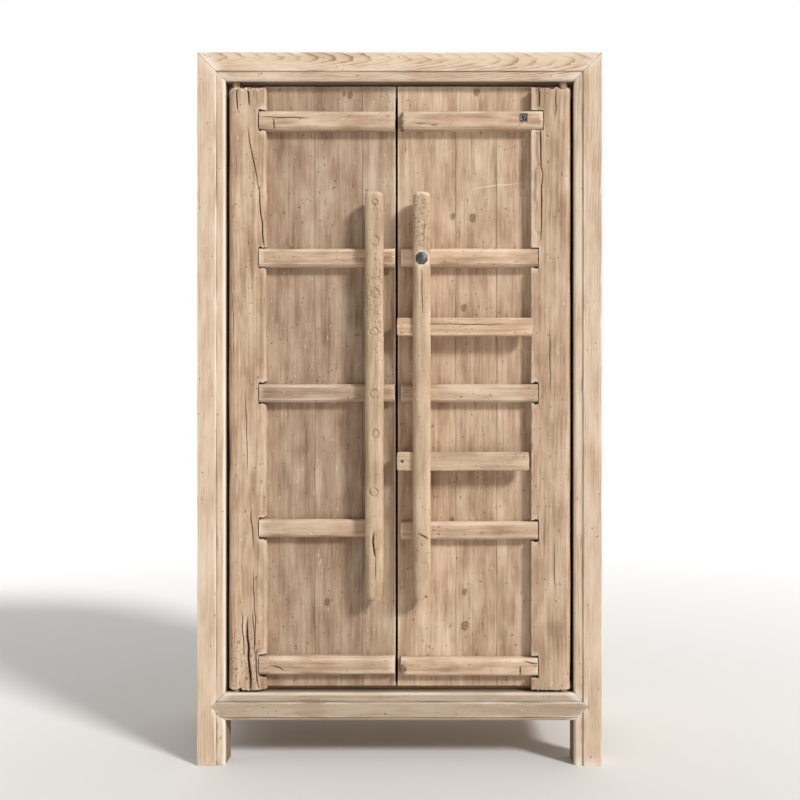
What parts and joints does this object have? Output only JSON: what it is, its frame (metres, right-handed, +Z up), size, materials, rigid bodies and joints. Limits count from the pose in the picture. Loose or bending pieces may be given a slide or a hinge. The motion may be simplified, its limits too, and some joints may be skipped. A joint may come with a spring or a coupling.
{
  "type": "wardrobe",
  "caption": "Tall two-door wardrobe in bleached reclaimed pine: moulded mitred frame, plank doors on wooden pivots, upright latch poles and sliding cross bars.",
  "frame": {"origin": "on the floor, under the middle of the whole outline with the doors shut", "axes": "+Z up, +X to the viewer's right when facing the doors, -Y out of the front"},
  "size_m": [1.135, 0.603, 2],
  "materials": {
    "frame_wood": "bleached, sanded smooth",
    "door_wood": "weathered, open grain",
    "latch_wood": "worn round by hand",
    "panel_wood": "planed, unfinished",
    "iron": "dark forged, rusted"
  },
  "bodies": {
    "cabinet": {"door_stop": "panel_wood", "floor_board": "panel_wood", "front_bottom_rail": "frame_wood", "front_left_post": "frame_wood", "front_right_post": "frame_wood", "front_top_rail": "frame_wood", "hanging_rail": "panel_wood", "hat_shelf": "panel_wood", "left_bottom_rail": "frame_wood", "left_lower_panel": "panel_wood", "left_middle_rail": "frame_wood", "left_rail_socket": "panel_wood", "left_shelf_bearer": "panel_wood", "left_top_rail": "frame_wood", "left_upper_panel": "panel_wood", "rear_bottom_rail": "frame_wood", "rear_left_post": "frame_wood", "rear_lower_panel": "panel_wood", "rear_middle_rail": "frame_wood", "rear_right_post": "frame_wood", "rear_top_rail": "frame_wood", "rear_upper_panel": "panel_wood", "right_bottom_rail": "frame_wood", "right_lower_panel": "panel_wood", "right_middle_rail": "frame_wood", "right_rail_socket": "panel_wood", "right_shelf_bearer": "panel_wood", "right_top_rail": "frame_wood", "right_upper_panel": "panel_wood", "top_panel": "panel_wood"},
    "left_door": {"left_batten_1": "door_wood", "left_batten_2": "door_wood", "left_batten_3": "door_wood", "left_batten_4": "door_wood", "left_batten_5": "door_wood", "left_batten_nails": "iron", "left_hinge_stile": "door_wood", "left_inner_plank": "door_wood", "left_latch_pole": "latch_wood", "left_middle_plank": "door_wood", "left_outer_plank": "door_wood", "left_pole_nails": "iron"},
    "right_door": {"batten_plate_nail": "iron", "pole_spike": "iron", "right_batten_1": "door_wood", "right_batten_2": "door_wood", "right_batten_3": "door_wood", "right_batten_4": "door_wood", "right_batten_5": "door_wood", "right_batten_nails": "iron", "right_hinge_stile": "door_wood", "right_inner_plank": "door_wood", "right_latch_pole": "latch_wood", "right_middle_plank": "door_wood", "right_outer_plank": "door_wood", "right_pole_nails": "iron"},
    "upper_bar": {"upper_latch_bar": "latch_wood"},
    "lower_bar": {"lower_latch_bar": "latch_wood"}
  },
  "joints": [
    {"name": "left_door_hinge", "type": "hinge", "parent": "cabinet", "child": "left_door", "pos_m": [-0.4625, -0.2305, 0], "axis": [0, 0, -1], "range_deg": [0, 95]},
    {"name": "right_door_hinge", "type": "hinge", "parent": "cabinet", "child": "right_door", "pos_m": [0.4625, -0.2305, 0], "axis": [0, 0, 1], "range_deg": [0, 95]},
    {"name": "upper_bar_slide", "type": "slide", "parent": "right_door", "child": "upper_bar", "axis": [1, 0, 0], "range_m": [-0.1835, 0]},
    {"name": "lower_bar_slide", "type": "slide", "parent": "right_door", "child": "lower_bar", "axis": [1, 0, 0], "range_m": [-0.1695, 0]}
  ]
}
